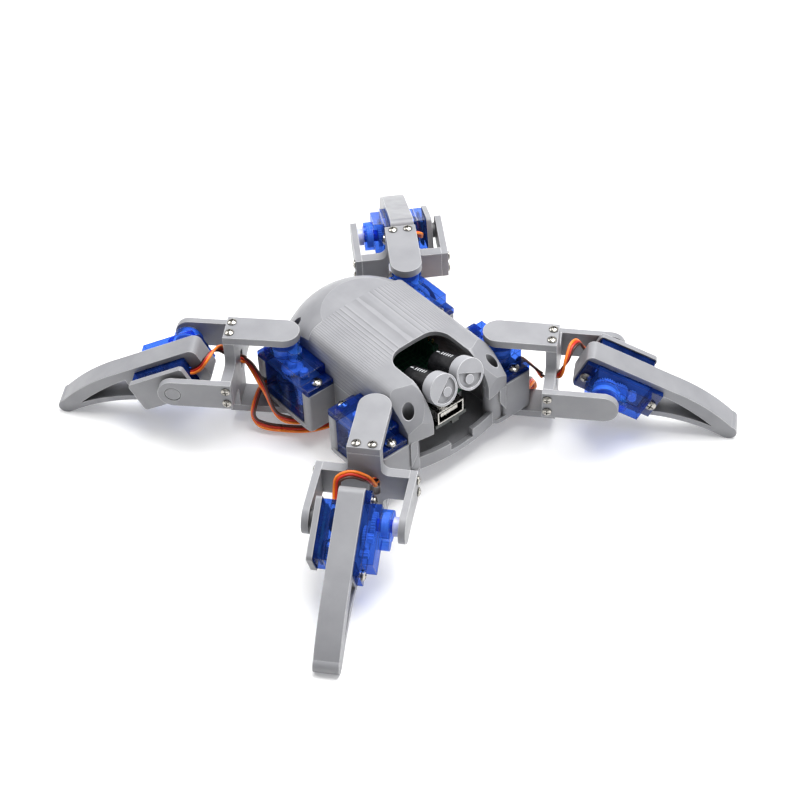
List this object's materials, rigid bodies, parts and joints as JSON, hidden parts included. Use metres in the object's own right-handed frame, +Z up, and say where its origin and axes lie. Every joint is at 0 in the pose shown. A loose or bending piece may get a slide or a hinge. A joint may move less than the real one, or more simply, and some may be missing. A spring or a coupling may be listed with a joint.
{
  "type": "quadruped walking robot",
  "caption": "Palm-sized walking robot with a domed body, round eyes and four two-joint legs driven by blue micro servos.",
  "frame": {"origin": "middle of the flat underside of the chassis floor", "axes": "+X to the front, where the eyes look; +Y to the left; +Z up"},
  "size_m": [0.2057, 0.2028, 0.05],
  "materials": {
    "grey_plastic": "satin light grey printed plastic",
    "blue_servo_case": "clear deep blue moulded plastic",
    "screw_steel": "bright zinc-plated steel",
    "black_sleeve": "black shrink sleeve",
    "board_green": "dark green solder mask",
    "lead_orange": "orange, red and brown insulation",
    "horn_plastic": "milky nylon",
    "socket_metal": "nickel-plated sheet"
  },
  "bodies": {
    "body": {"chassis": "grey_plastic", "cover": "grey_plastic", "controller_board": "board_green", "eye_cylinders": "black_sleeve", "eye_caps": "grey_plastic", "usb_socket": "socket_metal", "body_screws": "screw_steel", "hip_leads": "lead_orange", "fl_hip_servo": "blue_servo_case", "fr_hip_servo": "blue_servo_case", "rl_hip_servo": "blue_servo_case", "rr_hip_servo": "blue_servo_case"},
    "fl_hip_bracket": {"fl_top_arm": "grey_plastic", "fl_bottom_arm": "grey_plastic", "fl_cross_bracket": "grey_plastic", "fl_horn_plate": "grey_plastic", "fl_pivot_plate": "grey_plastic", "fl_bracket_screws": "screw_steel", "fl_servo_horns": "horn_plastic", "fl_knee_lead": "lead_orange"},
    "fl_lower_leg": {"fl_leg": "grey_plastic", "fl_knee_servo": "blue_servo_case", "fl_pivot_cap": "grey_plastic", "fl_knee_screws": "screw_steel"},
    "fr_hip_bracket": {"fr_top_arm": "grey_plastic", "fr_bottom_arm": "grey_plastic", "fr_cross_bracket": "grey_plastic", "fr_horn_plate": "grey_plastic", "fr_pivot_plate": "grey_plastic", "fr_bracket_screws": "screw_steel", "fr_servo_horns": "horn_plastic", "fr_knee_lead": "lead_orange"},
    "fr_lower_leg": {"fr_leg": "grey_plastic", "fr_knee_servo": "blue_servo_case", "fr_pivot_cap": "grey_plastic", "fr_knee_screws": "screw_steel"},
    "rl_hip_bracket": {"rl_top_arm": "grey_plastic", "rl_bottom_arm": "grey_plastic", "rl_cross_bracket": "grey_plastic", "rl_horn_plate": "grey_plastic", "rl_pivot_plate": "grey_plastic", "rl_bracket_screws": "screw_steel", "rl_servo_horns": "horn_plastic", "rl_knee_lead": "lead_orange"},
    "rl_lower_leg": {"rl_leg": "grey_plastic", "rl_knee_servo": "blue_servo_case", "rl_pivot_cap": "grey_plastic", "rl_knee_screws": "screw_steel"},
    "rr_hip_bracket": {"rr_top_arm": "grey_plastic", "rr_bottom_arm": "grey_plastic", "rr_cross_bracket": "grey_plastic", "rr_horn_plate": "grey_plastic", "rr_pivot_plate": "grey_plastic", "rr_bracket_screws": "screw_steel", "rr_servo_horns": "horn_plastic", "rr_knee_lead": "lead_orange"},
    "rr_lower_leg": {"rr_leg": "grey_plastic", "rr_knee_servo": "blue_servo_case", "rr_pivot_cap": "grey_plastic", "rr_knee_screws": "screw_steel"}
  },
  "joints": [
    {"name": "fl_hip", "type": "hinge", "parent": "body", "child": "fl_hip_bracket", "pos_m": [0.0276, 0.0306, 0], "axis": [0, 0, 1], "range_deg": [-41.3, 48.7], "deforming": ["fl_knee_lead", "hip_leads"]},
    {"name": "fl_knee", "type": "hinge", "parent": "fl_hip_bracket", "child": "fl_lower_leg", "pos_m": [0.05878, 0.05799, 0.01545], "axis": [-0.66, 0.7513, 0], "range_deg": [-85.2, 59.8], "deforming": ["fl_knee_lead"]},
    {"name": "fr_hip", "type": "hinge", "parent": "body", "child": "fr_hip_bracket", "pos_m": [0.0276, -0.0306, 0], "axis": [0, 0, -1], "range_deg": [-49.9, 40.1], "deforming": ["fr_knee_lead", "hip_leads"]},
    {"name": "fr_knee", "type": "hinge", "parent": "fr_hip_bracket", "child": "fr_lower_leg", "pos_m": [0.05433, -0.06234, 0.01545], "axis": [0.7649, 0.6441, 0], "range_deg": [-85.2, 59.8], "deforming": ["fr_knee_lead"]},
    {"name": "rl_hip", "type": "hinge", "parent": "body", "child": "rl_hip_bracket", "pos_m": [-0.0276, 0.0306, 0], "axis": [0, 0, -1], "range_deg": [-23.6, 56.4], "deforming": ["rl_knee_lead", "hip_leads"]},
    {"name": "rl_knee", "type": "hinge", "parent": "rl_hip_bracket", "child": "rl_lower_leg", "pos_m": [-0.06217, 0.05357, 0.01545], "axis": [-0.5534, -0.8329, 0], "range_deg": [-85.2, 59.8], "deforming": ["rl_knee_lead"]},
    {"name": "rr_hip", "type": "hinge", "parent": "body", "child": "rr_hip_bracket", "pos_m": [-0.0276, -0.0306, 0], "axis": [0, 0, 1], "range_deg": [-33.2, 46.8], "deforming": ["rr_knee_lead", "hip_leads"]},
    {"name": "rr_knee", "type": "hinge", "parent": "rr_hip_bracket", "child": "rr_lower_leg", "pos_m": [-0.05785, -0.05901, 0.01545], "axis": [0.6845, -0.729, 0], "range_deg": [-85.2, 59.8], "deforming": ["rr_knee_lead"]}
  ]
}
